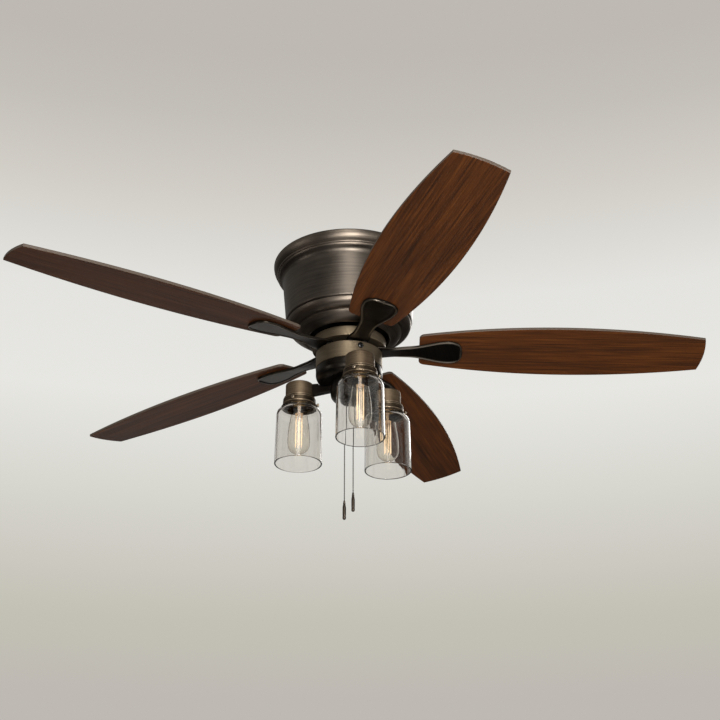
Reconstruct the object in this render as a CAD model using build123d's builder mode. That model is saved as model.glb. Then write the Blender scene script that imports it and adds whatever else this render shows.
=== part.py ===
"""Flush-mount ceiling fan with five blades and a three-lamp light kit.

The origin is the centre of the face that meets the ceiling. +Z is up, so the
whole fan hangs at negative Z. +X points along the first blade. Millimetres.
"""
from build123d import *
import os
from math import cos, radians, sin, sqrt, tan

os.makedirs("parts", exist_ok=True)

# Driving dimensions ---------------------------------------------------------
fan_radius = 660.0             # axis to the middle of a blade's tip: a 52 inch fan
blade_count = 5
blade_pitch = 11.4             # blade's lean about its own length, degrees
blade_droop = 1.5              # fall of each blade towards its tip, degrees
rotor_phase = -1.0             # where the first blade stops, degrees from +X
blade_level = -174.6           # height of the blades' mid planes at the axis
blade_thickness = 5.5
blade_root = 131.0
blade_root_half = 41.5
blade_wide_half = 68.6
blade_tip_half = 45.0

plate_radius = 117.0           # steel plate screwed to the ceiling box
plate_thickness = 2.5
plate_flange_depth = 24.0
box_screw_spacing = 79.4       # slots take box screws 70 to 89 mm apart
box_slot_length = 15.0
box_slot_width = 5.5
wire_hole_radius = 15.0

rim_radius = 145.0             # trim rim against the ceiling
rim_bottom = -27.6
housing_bottom = -126.3
step_bottom = -142.6
mouth_level = -159.0           # lower edge of the housing
sheet = 1.5                    # wall of the spun steel shells

shaft_radius = 8.5             # 17 mm hollow shaft
shaft_bore_radius = 5.0
shaft_bottom = -203.0
bearing_radius = 20.0          # 17 x 40 x 12 ball bearing
bearing_width = 12.0
running_gap = 0.05             # radial clearance of a running fit

rotor_radius = 92.0
rotor_top = -50.0
rotor_split = -92.0
rotor_bottom = -140.0
stator_radius = 63.0
air_gap = 0.7
tooth_count = 12

flywheel_radius = 68.9
flywheel_top = -162.0
flywheel_bottom = -181.0
iron_thickness = 5.0

switch_radius = 62.0
switch_top = -188.9
switch_bottom = -220.7
pan_bottom = -247.6
hub_radius = 34.0
hub_bottom = -286.0

lamp_count = 3
lamp_ring = 97.0               # axis to each lamp's axis
lamp_phase = -78.0
cup_radius = 26.0
cup_top = -237.6
cup_bottom = -263.6
fitter_bottom = -284.6
glass_radius = 43.5
glass_bottom = -395.6
glass_wall = 2.4
bulb_radius = 21.0
bulb_bottom = -375.6

chain_offset = 7.75            # each pull chain, left and right of the axis
chain_radius = 1.2
chain_top = -272.0
fan_fob_top = -477.0
light_fob_top = -462.0
fob_length = 35.0
fob_radius = 3.1

# Fasteners
screw_hole = 2.6
screw_shank = 2.4
screw_gap = 0.1


def spoke(azimuth, level=0.0, droop=0.0, pitch=0.0):
    """A plane on the axis: X out along the azimuth, drooped and pitched about X."""
    turned = Location((0, 0, level), (0, 0, azimuth))
    drooped = turned * Location((0, 0, 0), (0, droop, 0))
    return Plane(drooped * Location((0, 0, 0), (-pitch, 0, 0)))


def radial(azimuth, level, reach=0.0):
    """A plane whose normal points outwards along the azimuth, at a reach from the axis."""
    return Plane(spoke(azimuth, level).location * Location((reach, 0, 0), (0, 90, 0)))


def lamp_azimuth(index):
    """Azimuth of one lamp's arm."""
    return lamp_phase + index * 360 / lamp_count


def blade_azimuth(index):
    """Azimuth of one blade at rest."""
    return rotor_phase + index * 360 / blade_count


def save(piece, name):
    """Label a finished piece and write its STEP file."""
    piece.part.label = name
    export_step(piece.part, f"parts/{name}.step")


# Ceiling plate: pressed steel, screwed to the outlet box through two slots ----
hanger_screw_ring = 36.0
housing_screw_level = -14.0
with BuildPart() as ceiling_plate:
    Cylinder(plate_radius, plate_thickness, align=(Align.CENTER, Align.CENTER, Align.MAX))
    with BuildSketch(Plane.XY.offset(-plate_flange_depth)):
        Circle(plate_radius)
        Circle(plate_radius - 2.0, mode=Mode.SUBTRACT)
    extrude(amount=plate_flange_depth - plate_thickness)
    with BuildSketch(Plane.XY.offset(-plate_thickness)):
        Circle(wire_hole_radius)
        with Locations((-box_screw_spacing / 2, 0), (box_screw_spacing / 2, 0)):
            SlotOverall(box_slot_length, box_slot_width)
    extrude(amount=plate_thickness, mode=Mode.SUBTRACT)
    with Locations(Plane.XY.offset(-plate_thickness)):
        with PolarLocations(hanger_screw_ring, 4, start_angle=45):
            Hole(screw_hole)
    for azimuth in range(0, 360, 90):
        with Locations(radial(azimuth + 45, housing_screw_level, plate_radius - 1)):
            Cylinder(screw_hole, 6, mode=Mode.SUBTRACT)
save(ceiling_plate, "ceiling_plate")

# Hanger collar: casting under the plate that grips the top of the shaft ------
collar_flange_radius = 44.0
collar_bottom = -42.0
shaft_top = -9.0
with BuildPart() as hanger_collar:
    with BuildSketch(Plane.XZ):
        with BuildLine():
            Polyline(
                (wire_hole_radius, -plate_thickness),
                (collar_flange_radius, -plate_thickness),
                (collar_flange_radius, -plate_thickness - 4),
                (22, -plate_thickness - 6),
                (17, collar_bottom),
                (shaft_radius, collar_bottom),
                (shaft_radius, shaft_top),
                (wire_hole_radius, shaft_top),
                close=True,
            )
        make_face()
    revolve(axis=Axis.Z)
    with Locations(Plane.XY.offset(-plate_thickness)):
        with PolarLocations(hanger_screw_ring, 4, start_angle=45):
            Hole(screw_hole)
save(hanger_collar, "hanger_collar")

# Trim rim: spun ring with an ogee edge and a bead, hides the housing's screws --
with BuildPart() as trim_rim:
    with BuildSketch(Plane.XZ):
        with BuildLine():
            Line((139.0, -0.6), (141.0, -0.6))
            ThreePointArc((141.0, -0.6), (144.0, -1.7), (rim_radius, -4.5))
            Spline(
                (rim_radius, -4.5),
                (143.4, -12.5),
                (137.6, -20.6),
                tangents=((0, -1), (-0.7, -0.7)),
            )
            ThreePointArc((137.6, -20.6), (138.2, -23.4), (135.9, -25.0))
            Line((135.9, -25.0), (134.4, rim_bottom))
            Line((134.4, rim_bottom), (122.0, rim_bottom))
            Line((122.0, rim_bottom), (122.0, rim_bottom + sheet))
            Line((122.0, rim_bottom + sheet), (133.0, rim_bottom + sheet))
            Spline(
                (133.0, rim_bottom + sheet),
                (140.5, -14.0),
                (143.2, -5.0),
                tangents=((0.6, 0.8), (0, 1)),
            )
            Line((143.2, -5.0), (139.0, -0.6))
        make_face()
    revolve(axis=Axis.Z)
save(trim_rim, "trim_rim")

# Motor housing: spun steel drum with a coved shoulder under the rim -----------
housing_neck_radius = 120.6
shoulder_top = rim_bottom - 0.9
drum_bottom = housing_bottom + 0.8
with BuildPart() as motor_housing:
    with BuildSketch(Plane.XZ):
        with BuildLine():
            Line((housing_neck_radius - sheet, -4), (housing_neck_radius, -4))
            Line((housing_neck_radius, -4), (housing_neck_radius, shoulder_top))
            Line((housing_neck_radius, shoulder_top), (134.0, shoulder_top))
            Line((134.0, shoulder_top), (134.0, shoulder_top - 0.8))
            ThreePointArc((134.0, shoulder_top - 0.8), (129.0, -34.4), (126.8, -42.0))
            Line((126.8, -42.0), (119.4, -120.5))
            ThreePointArc((119.4, -120.5), (118.9, -123.6), (117.0, drum_bottom))
            Line((117.0, drum_bottom), (115.4, drum_bottom))
            ThreePointArc((115.4, drum_bottom), (117.3, -123.2), (117.9, -120.5))
            Line((117.9, -120.5), (125.1, -45.0))
            ThreePointArc((125.1, -45.0), (123.4, -37.5), (119.1, -33.0))
            Line((119.1, -33.0), (housing_neck_radius - sheet, -4))
        make_face()
    revolve(axis=Axis.Z)
    for azimuth in range(0, 360, 90):
        with Locations(radial(azimuth + 45, housing_screw_level, housing_neck_radius)):
            Cylinder(screw_hole, 6, mode=Mode.SUBTRACT)
save(motor_housing, "motor_housing")

# Lower housing: spun pan of two rounded steps with a groove between them ------
with BuildPart() as lower_housing:
    with BuildSketch(Plane.XZ):
        with BuildLine():
            Line((113.6, -120.0), (115.0, -120.0))
            Line((115.0, -120.0), (115.0, housing_bottom - 1.0))
            Line((115.0, housing_bottom - 1.0), (117.6, housing_bottom - 1.0))
            ThreePointArc((117.6, housing_bottom - 1.0), (112.2, -137.6), (101.4, step_bottom))
            Line((101.4, step_bottom), (98.8, step_bottom + 0.6))
            Line((98.8, step_bottom + 0.6), (98.8, step_bottom - 1.0))
            ThreePointArc((98.8, step_bottom - 1.0), (91.0, -153.2), (79.0, mouth_level))
            ThreePointArc((79.0, mouth_level), (76.4, mouth_level + 0.6), (75.4, mouth_level + 3.0))
            Line((75.4, mouth_level + 3.0), (75.4, -148.0))
            Line((75.4, -148.0), (76.9, -148.0))
            Line((76.9, -148.0), (76.9, mouth_level + 2.4))
            ThreePointArc((76.9, mouth_level + 2.4), (89.6, -151.6), (97.2, -141.0))
            Line((97.2, -141.0), (100.8, -140.9))
            ThreePointArc((100.8, -140.9), (110.6, -136.6), (115.4, -128.6))
            Line((115.4, -128.6), (113.6, -128.6))
            Line((113.6, -128.6), (113.6, -120.0))
        make_face()
    revolve(axis=Axis.Z)
save(lower_housing, "lower_housing")

# Housing screws: four pan-head screws through the drum into the plate's flange -
with BuildPart() as housing_screws:
    for azimuth in range(0, 360, 90):
        head_reach = housing_neck_radius + screw_gap
        with BuildSketch(radial(azimuth + 45, housing_screw_level, head_reach)):
            Circle(screw_shank)
        extrude(amount=-9)
        with BuildSketch(radial(azimuth + 45, housing_screw_level, head_reach)):
            Circle(4.6)
        extrude(amount=2.6)
save(housing_screws, "housing_screws")

# Main shaft: hollow steel tube that carries the stator and the light kit -------
with BuildPart() as main_shaft:
    with BuildSketch(Plane.XY.offset(shaft_bottom)):
        Circle(shaft_radius)
        Circle(shaft_bore_radius, mode=Mode.SUBTRACT)
    extrude(amount=shaft_top - shaft_bottom)
save(main_shaft, "main_shaft")

# Leads in the hollow shaft: supply wires down to the switches ------------------
lead_radius = 1.4
lead_ring = 2.4
with BuildPart() as shaft_leads:
    with BuildSketch(Plane.XY.offset(shaft_bottom - 8)):
        with PolarLocations(lead_ring, 3):
            Circle(lead_radius)
    extrude(amount=shaft_top - shaft_bottom + 7)
save(shaft_leads, "shaft_leads")

# Stator: stack of steel laminations with twelve poles, pressed on the shaft ----
stator_middle = -92.0
stack_height = 26.0
tooth_width = 11.0
yoke_radius = 32.0
with BuildPart() as stator_core:
    with BuildSketch(Plane.XY.offset(stator_middle - stack_height / 2)):
        Circle(yoke_radius)
        with PolarLocations(0, tooth_count):
            with Locations(((yoke_radius + stator_radius) / 2 - 2, 0)):
                Rectangle(stator_radius - yoke_radius, tooth_width)
        with BuildSketch(mode=Mode.PRIVATE) as pole_ring:
            Circle(stator_radius)
            Circle(stator_radius - 4, mode=Mode.SUBTRACT)
            with PolarLocations(stator_radius, tooth_count, start_angle=180 / tooth_count):
                Rectangle(12, 5, mode=Mode.SUBTRACT)
        add(pole_ring.sketch)
        Circle(shaft_radius, mode=Mode.SUBTRACT)
    extrude(amount=stack_height)
save(stator_core, "stator_core")

# Windings: one copper coil round each pole ------------------------------------
coil_inner = yoke_radius + 3
coil_outer = stator_radius - 6
coil_gap = 0.4
coil_build = 2.6
with BuildPart() as stator_windings:
    for index in range(tooth_count):
        with BuildSketch(radial(index * 360 / tooth_count, stator_middle, coil_inner)):
            RectangleRounded(
                stack_height + 2 * (coil_gap + coil_build),
                tooth_width + 2 * (coil_gap + coil_build),
                coil_build,
            )
            Rectangle(stack_height + 2 * coil_gap, tooth_width + 2 * coil_gap, mode=Mode.SUBTRACT)
        extrude(amount=coil_outer - coil_inner)
save(stator_windings, "stator_windings")

# Ball bearings: one in each rotor cover, riding on the fixed shaft -------------
upper_bearing_top = -54.0
lower_bearing_top = -143.0
race = 3.4
ball_ring = (shaft_radius + bearing_radius) / 2


def bearing_at(top):
    """Inner race, outer race and balls of one bearing, as separate solids."""
    with BuildPart() as bearing:
        with BuildSketch(Plane.XY.offset(top - bearing_width)):
            Circle(shaft_radius + race)
            Circle(shaft_radius + running_gap, mode=Mode.SUBTRACT)
        extrude(amount=bearing_width)
        with BuildSketch(Plane.XY.offset(top - bearing_width)):
            Circle(bearing_radius)
            Circle(bearing_radius - race, mode=Mode.SUBTRACT)
        extrude(amount=bearing_width)
        with Locations((0, 0, top - bearing_width / 2)):
            with PolarLocations(ball_ring, 8):
                Sphere(ball_ring - shaft_radius - race - screw_gap / 2)
    return bearing


upper_bearing = bearing_at(upper_bearing_top)
save(upper_bearing, "upper_bearing")
lower_bearing = bearing_at(lower_bearing_top)
save(lower_bearing, "lower_bearing")

# Rotor covers: two aluminium castings that close round the stator --------------
cover_wall = 3.0
shaft_clear = 12.0
with BuildPart() as rotor_upper_cover:
    with BuildSketch(Plane.XZ):
        with BuildLine():
            Polyline(
                (shaft_clear, rotor_top),
                (30, rotor_top),
                (34, rotor_top - 8),
                (70, rotor_top - 10),
                (rotor_radius, rotor_top - 20),
                (rotor_radius, rotor_split),
                (rotor_radius - cover_wall, rotor_split),
                (rotor_radius - cover_wall, rotor_top - 22),
                (69, rotor_top - 14),
                (26, rotor_top - 14),
                (26, upper_bearing_top - bearing_width),
                (bearing_radius, upper_bearing_top - bearing_width),
                (bearing_radius, upper_bearing_top),
                (shaft_clear, upper_bearing_top),
                close=True,
            )
        make_face()
    revolve(axis=Axis.Z)
save(rotor_upper_cover, "rotor_upper_cover")

with BuildPart() as rotor_lower_cover:
    with BuildSketch(Plane.XZ):
        with BuildLine():
            Polyline(
                (shaft_clear, lower_bearing_top),
                (bearing_radius, lower_bearing_top),
                (bearing_radius, lower_bearing_top - bearing_width),
                (bearing_radius + 1, lower_bearing_top - bearing_width),
                (bearing_radius + 1, flywheel_top),
                (40, flywheel_top),
                (40, rotor_bottom),
                (78, rotor_bottom),
                (rotor_radius, rotor_bottom + 16),
                (rotor_radius, rotor_split),
                (rotor_radius - cover_wall, rotor_split),
                (rotor_radius - cover_wall, rotor_bottom + 18),
                (76, rotor_bottom + 4),
                (shaft_clear, rotor_bottom + 4),
                close=True,
            )
        make_face()
    revolve(axis=Axis.Z)
save(rotor_lower_cover, "rotor_lower_cover")

# Rotor cage: steel ring with aluminium end rings, turns round the stator -------
with BuildPart() as rotor_cage:
    with BuildSketch(Plane.XZ):
        with BuildLine():
            Polyline(
                (stator_radius + air_gap, stator_middle - 15),
                (rotor_radius - cover_wall, stator_middle - 15),
                (rotor_radius - cover_wall, stator_middle + 15),
                (stator_radius + air_gap, stator_middle + 15),
                close=True,
            )
        make_face()
    revolve(axis=Axis.Z)
save(rotor_cage, "rotor_cage")

# Flywheel: die-cast disc under the motor that carries the blade irons ----------
iron_screw_ring = 54.0
iron_screw_side = 13.0


def iron_screw_points():
    """Two screws for each blade iron, in the XY plane."""
    points = []
    for index in range(blade_count):
        turn = radians(blade_azimuth(index))
        for side in (-iron_screw_side, iron_screw_side):
            x = iron_screw_ring * cos(turn) - side * sin(turn)
            y = iron_screw_ring * sin(turn) + side * cos(turn)
            points.append((x, y))
    return points


with BuildPart() as flywheel:
    with BuildSketch(Plane.XY.offset(flywheel_bottom)):
        Circle(flywheel_radius)
        Circle(shaft_clear, mode=Mode.SUBTRACT)
    extrude(amount=flywheel_top - flywheel_bottom)
    fillet(flywheel.edges().filter_by(GeomType.CIRCLE).group_by(SortBy.RADIUS)[-1], 1.2)
    with BuildSketch(Plane.XY.offset(flywheel_top)):
        Circle(flywheel_radius - 8)
        Circle(44, mode=Mode.SUBTRACT)
    extrude(amount=-8, mode=Mode.SUBTRACT)
    with BuildSketch(Plane.XY.offset(flywheel_bottom)):
        with Locations(*iron_screw_points()):
            Circle(screw_hole)
    extrude(amount=9, mode=Mode.SUBTRACT)
save(flywheel, "flywheel")

# Blade irons: cast arms, level at the flywheel and twisted to the blade's pitch -
iron_root_inner = 41.0
iron_root_outer = 58.0
iron_root_half = 21.0
neck_start = 72.0
neck_end = 128.0
neck_half = 16.5
neck_waist_half = 15.0
paddle_half = 30.0
paddle_tip = 211.0
blade_screw_spots = ((152.0, -14.0), (152.0, 14.0), (188.0, 0.0))
paddle_top = -blade_thickness / 2
iron_top = flywheel_bottom


def neck_plane(index, radius, twist, level):
    """The plane of one section across a blade iron's neck."""
    centre = spoke(blade_azimuth(index), level).location * Location((radius, 0, 0), (-twist, 0, 0))
    return Plane(centre * Location((0, 0, 0), (0, 90, 0)))


def paddle_level(radius):
    """Height of the paddle's mid plane at a radius on the drooped blade."""
    return blade_level - radius * tan(radians(blade_droop)) + paddle_top - iron_thickness / 2


def make_iron(index):
    """One cast blade iron: root flange, twisted neck and rounded paddle."""
    azimuth = blade_azimuth(index)
    root_middle = iron_top - iron_thickness / 2
    blade_plane = spoke(azimuth, blade_level, blade_droop, blade_pitch)
    with BuildPart() as iron:
        with BuildSketch(spoke(azimuth, iron_top - iron_thickness)):
            with BuildLine():
                Line((iron_root_inner, -14), (iron_root_inner, 14))
                Line((iron_root_inner, 14), (iron_root_inner + 8, iron_root_half))
                Line((iron_root_inner + 8, iron_root_half), (iron_root_outer, iron_root_half))
                ThreePointArc((iron_root_outer, iron_root_half), (66, 18.4), (neck_start, neck_half))
                Line((neck_start, neck_half), (neck_start, -neck_half))
                ThreePointArc((neck_start, -neck_half), (66, -18.4), (iron_root_outer, -iron_root_half))
                Line((iron_root_outer, -iron_root_half), (iron_root_inner + 8, -iron_root_half))
                Line((iron_root_inner + 8, -iron_root_half), (iron_root_inner, -14))
            make_face()
        extrude(amount=iron_thickness)
        middle_level = (root_middle + paddle_level(neck_end)) / 2 - 0.6
        with BuildSketch(neck_plane(index, neck_start - 1, 0.0, root_middle)):
            RectangleRounded(iron_thickness, 2 * neck_half, 1.6)
        with BuildSketch(neck_plane(index, 98.0, blade_pitch / 2, middle_level)):
            RectangleRounded(iron_thickness, 2 * neck_waist_half, 1.6)
        with BuildSketch(neck_plane(index, neck_end, blade_pitch, paddle_level(neck_end))):
            RectangleRounded(iron_thickness, 2 * neck_half, 1.6)
        loft()
        with BuildSketch(blade_plane.offset(paddle_top - iron_thickness)):
            with BuildLine():
                Line((neck_end - 3, -neck_half), (neck_end - 3, neck_half))
                Spline(
                    (neck_end - 3, neck_half),
                    (150, 22.4),
                    (184, paddle_half),
                    (203, 21.0),
                    (paddle_tip, 0),
                    (203, -21.0),
                    (184, -paddle_half),
                    (150, -22.4),
                    (neck_end - 3, -neck_half),
                    tangents=((1, 0.15), (-1, 0.15)),
                )
            make_face()
        paddle = extrude(amount=iron_thickness, mode=Mode.PRIVATE)
        lower_rim = paddle.faces().sort_by(Axis.Z)[0].edges().filter_by(GeomType.BSPLINE)
        add(paddle.fillet(2.2, lower_rim))
        with BuildSketch(blade_plane.offset(paddle_top)):
            with Locations(*blade_screw_spots):
                Circle(screw_shank + running_gap)
        extrude(amount=-iron_thickness + 1.2, mode=Mode.SUBTRACT)
        with BuildSketch(spoke(azimuth, iron_top - iron_thickness)):
            with Locations((iron_screw_ring, -iron_screw_side), (iron_screw_ring, iron_screw_side)):
                Circle(screw_hole)
        extrude(amount=iron_thickness, mode=Mode.SUBTRACT)
        with Locations(spoke(azimuth, iron_top - iron_thickness)):
            with Locations((iron_screw_ring, -iron_screw_side, 0), (iron_screw_ring, iron_screw_side, 0)):
                countersink = (Align.CENTER, Align.CENTER, Align.MIN)
                Cone(5.0, screw_hole, 2.4, align=countersink, mode=Mode.SUBTRACT)
    return iron


for index in range(blade_count):
    save(make_iron(index), f"blade_iron_{index + 1}")

# Iron screws: ten flat-head screws, flush with the irons' undersides -----------
with BuildPart() as iron_screws:
    with Locations(Plane.XY.offset(iron_top - iron_thickness)):
        with Locations(*iron_screw_points()):
            Cone(4.8, screw_shank, 2.3, align=(Align.CENTER, Align.CENTER, Align.MIN))
            Cylinder(screw_shank, 13, align=(Align.CENTER, Align.CENTER, Align.MIN))
save(iron_screws, "iron_screws")


# Blades: plywood with a wood-grain face, widest near the middle ----------------
def make_blade(index):
    """One blade, drawn in its own drooped and pitched plane."""
    tip_side = fan_radius - 5.0
    plane = spoke(blade_azimuth(index), blade_level, blade_droop, blade_pitch)
    with BuildPart() as blade:
        with BuildSketch(plane.offset(-blade_thickness / 2)) as outline:
            with BuildLine():
                upper = Spline(
                    (blade_root, blade_root_half),
                    (215, 56.2),
                    (385, blade_wide_half),
                    (530, 62.2),
                    (tip_side, blade_tip_half),
                )
                ThreePointArc((tip_side, blade_tip_half), (fan_radius, 0), (tip_side, -blade_tip_half))
                mirror(upper, about=Plane.XZ)
                Line((blade_root, -blade_root_half), (blade_root, blade_root_half))
            make_face()
            corners = outline.vertices().sort_by(lambda v: v.distance_to((0, 0, blade_level)))
            fillet(corners[:2], 11)
            fillet(corners[2:], 7)
        extrude(amount=blade_thickness)
        rims = blade.faces().sort_by(SortBy.AREA)[-2:].edges()
        fillet(rims, 1.2)
        with BuildSketch(plane.offset(-blade_thickness / 2)):
            with Locations(*blade_screw_spots):
                Circle(screw_hole)
        extrude(amount=blade_thickness, mode=Mode.SUBTRACT)
    return blade


for index in range(blade_count):
    save(make_blade(index), f"blade_{index + 1}")

# Blade screws: three to a blade, from above into the iron's paddle -------------
with BuildPart() as blade_screws:
    for index in range(blade_count):
        plane = spoke(blade_azimuth(index), blade_level, blade_droop, blade_pitch)
        with BuildSketch(plane.offset(-blade_thickness / 2 - 3.4)):
            with Locations(*blade_screw_spots):
                Circle(screw_shank)
        extrude(amount=blade_thickness + 3.4 + screw_gap)
        with BuildSketch(plane.offset(blade_thickness / 2 + screw_gap)):
            with Locations(*blade_screw_spots):
                Circle(5.4)
        extrude(amount=1.0)
        with BuildSketch(plane.offset(blade_thickness / 2 + screw_gap + 1.0)):
            with Locations(*blade_screw_spots):
                Circle(4.2)
        extrude(amount=2.2, taper=18)
save(blade_screws, "blade_screws")

# Switch mount plate: flanged disc on the shaft's lower end ---------------------
mount_flange_radius = switch_radius - sheet - 0.4
side_screw_level = -197.5
side_screw_first = -70.0
side_screw_head = 4.8
reverse_azimuth = 100.0
reverse_level = -204.0
with BuildPart() as switch_mount_plate:
    with BuildSketch(Plane.XZ):
        with BuildLine():
            Polyline(
                (shaft_radius, switch_top - 0.5),
                (mount_flange_radius, switch_top - 0.5),
                (mount_flange_radius, side_screw_level - 7),
                (mount_flange_radius - 1.6, side_screw_level - 7),
                (mount_flange_radius - 1.6, switch_top - 2.5),
                (15, switch_top - 2.5),
                (14, shaft_bottom + 1),
                (shaft_radius, shaft_bottom + 1),
                close=True,
            )
        make_face()
    revolve(axis=Axis.Z)
    for side in range(3):
        with Locations(radial(side_screw_first + 120 * side, side_screw_level, mount_flange_radius)):
            Cylinder(screw_hole, 8, mode=Mode.SUBTRACT)
    with Locations(spoke(reverse_azimuth, reverse_level)):
        with Locations((mount_flange_radius, 0, 0)):
            Box(10, 16, 26, mode=Mode.SUBTRACT)
save(switch_mount_plate, "switch_mount_plate")

# Switch housing: short drum round the switches, held by three side screws ------
with BuildPart() as switch_housing:
    with BuildSketch(Plane.XZ):
        with BuildLine():
            Line((switch_radius - sheet, switch_top), (switch_radius - 1, switch_top))
            ThreePointArc(
                (switch_radius - 1, switch_top),
                (switch_radius - 0.3, switch_top - 0.3),
                (switch_radius, switch_top - 1),
            )
            Line((switch_radius, switch_top - 1), (switch_radius, switch_bottom + 0.8))
            Line((switch_radius, switch_bottom + 0.8), (switch_radius - 0.8, switch_bottom))
            Line((switch_radius - 0.8, switch_bottom), (46, switch_bottom))
            Line((46, switch_bottom), (46, switch_bottom + sheet))
            Line((46, switch_bottom + sheet), (switch_radius - sheet, switch_bottom + sheet))
            Line((switch_radius - sheet, switch_bottom + sheet), (switch_radius - sheet, switch_top))
        make_face()
    revolve(axis=Axis.Z)
    for side in range(3):
        with Locations(radial(side_screw_first + 120 * side, side_screw_level, switch_radius)):
            Cylinder(screw_hole, 6, mode=Mode.SUBTRACT)
    with Locations(spoke(reverse_azimuth, reverse_level)):
        with Locations((switch_radius, 0, 0)):
            Box(8, 4.6, 13.0, mode=Mode.SUBTRACT)
save(switch_housing, "switch_housing")

# Side screws of the switch housing, with domed heads ---------------------------
with BuildPart() as switch_housing_screws:
    for side in range(3):
        azimuth = side_screw_first + 120 * side
        with BuildSketch(radial(azimuth, side_screw_level, switch_radius + 0.3)):
            Circle(screw_shank)
        extrude(amount=-7)
        with BuildSketch(radial(azimuth, side_screw_level, switch_radius + 0.3)):
            Circle(side_screw_head)
        extrude(amount=2.4, taper=24)
save(switch_housing_screws, "switch_housing_screws")

# Reverse switch: sets the fan's direction, behind a slot in the drum ----------
slider_travel = 5.0
with BuildPart() as reverse_switch:
    with Locations(spoke(reverse_azimuth, reverse_level)):
        with Locations((52.0, 0, 0)):
            Box(14, 12, 22)
        with Locations((58.0, 0, 0)):
            Box(6, 3.2, 11, mode=Mode.SUBTRACT)
save(reverse_switch, "reverse_switch")

with BuildPart() as reverse_slider:
    with Locations(spoke(reverse_azimuth, reverse_level + slider_travel / 2)):
        with Locations((61.0, 0, 0)):
            Box(8, 2.4, 4.5)
    fillet(reverse_slider.edges().group_by(SortBy.LENGTH)[0], 0.6)
save(reverse_slider, "reverse_slider")

# Run capacitor, beside the shaft in the switch housing --------------------------
with BuildPart() as capacitor:
    with Locations(spoke(20.0, -206.0)):
        with Locations((38.0, 0, 0)):
            Box(17, 38, 22)
    fillet(capacitor.edges().filter_by(Axis.Z), 2.5)
save(capacitor, "capacitor")

# Fitter pan: shallow rounded pan under the switch housing ----------------------
pan_corner = 15.6
pan_side = 61.6
hub_neck_radius = 24.0
pan_hole_radius = hub_neck_radius + 0.4
with BuildPart() as fitter_pan:
    pan_top = switch_bottom - 0.8
    corner_drop = pan_corner * (1 - 1 / sqrt(2))
    inner_corner = pan_corner - sheet
    inner_drop = inner_corner * (1 - 1 / sqrt(2))
    with BuildSketch(Plane.XZ):
        with BuildLine():
            Line((48, pan_top), (pan_side - 0.8, pan_top))
            Line((pan_side - 0.8, pan_top), (pan_side, pan_top - 0.8))
            Line((pan_side, pan_top - 0.8), (pan_side, pan_bottom + pan_corner))
            ThreePointArc(
                (pan_side, pan_bottom + pan_corner),
                (pan_side - corner_drop, pan_bottom + corner_drop),
                (pan_side - pan_corner, pan_bottom),
            )
            Line((pan_side - pan_corner, pan_bottom), (pan_hole_radius, pan_bottom))
            Line((pan_hole_radius, pan_bottom), (pan_hole_radius, pan_bottom + sheet))
            Line((pan_hole_radius, pan_bottom + sheet), (pan_side - pan_corner, pan_bottom + sheet))
            ThreePointArc(
                (pan_side - pan_corner, pan_bottom + sheet),
                (pan_side - sheet - inner_drop, pan_bottom + sheet + inner_drop),
                (pan_side - sheet, pan_bottom + pan_corner),
            )
            Line((pan_side - sheet, pan_bottom + pan_corner), (pan_side - sheet, pan_top - sheet))
            Line((pan_side - sheet, pan_top - sheet), (48, pan_top - sheet))
            Line((48, pan_top - sheet), (48, pan_top))
        make_face()
    revolve(axis=Axis.Z)
save(fitter_pan, "fitter_pan")

# Light hub: cast body under the pan that holds the arms and the pull switches ---
hub_wall = 3.2
hub_top = pan_bottom - 0.4
hub_round = 17.0
arm_bore_radius = 3.4
arm_bore_level = -256.0
bushing_radius = 3.6
with BuildPart() as light_hub:
    round_drop = hub_round * (1 - 1 / sqrt(2))
    with BuildSketch(Plane.XZ):
        with BuildLine():
            Line((hub_neck_radius - 2.5, -234.0), (hub_neck_radius, -234.0))
            Line((hub_neck_radius, -234.0), (hub_neck_radius, hub_top))
            Line((hub_neck_radius, hub_top), (hub_radius, hub_top))
            Line((hub_radius, hub_top), (hub_radius, hub_bottom + hub_round))
            ThreePointArc(
                (hub_radius, hub_bottom + hub_round),
                (hub_radius - round_drop, hub_bottom + round_drop),
                (hub_radius - hub_round, hub_bottom),
            )
            Line((hub_radius - hub_round, hub_bottom), (0, hub_bottom))
            Line((0, hub_bottom), (0, hub_bottom + hub_wall))
            Line((0, hub_bottom + hub_wall), (hub_radius - hub_round, hub_bottom + hub_wall))
            ThreePointArc(
                (hub_radius - hub_round, hub_bottom + hub_wall),
                (hub_radius - hub_wall - (hub_round - hub_wall) * (1 - 1 / sqrt(2)),
                 hub_bottom + hub_wall + (hub_round - hub_wall) * (1 - 1 / sqrt(2))),
                (hub_radius - hub_wall, hub_bottom + hub_round),
            )
            Line((hub_radius - hub_wall, hub_bottom + hub_round), (hub_radius - hub_wall, hub_top - 3))
            Line((hub_radius - hub_wall, hub_top - 3), (hub_neck_radius - 2.5, hub_top - 3))
            Line((hub_neck_radius - 2.5, hub_top - 3), (hub_neck_radius - 2.5, -234.0))
        make_face()
    revolve(axis=Axis.Z)
    with BuildSketch(Plane.XY.offset(hub_bottom)):
        with Locations((-chain_offset, 0), (chain_offset, 0)):
            Circle(bushing_radius)
    extrude(amount=hub_wall, mode=Mode.SUBTRACT)
    for index in range(lamp_count):
        with BuildSketch(radial(lamp_azimuth(index), arm_bore_level, 25)):
            Circle(arm_bore_radius)
        extrude(amount=15, mode=Mode.SUBTRACT)
save(light_hub, "light_hub")

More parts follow.
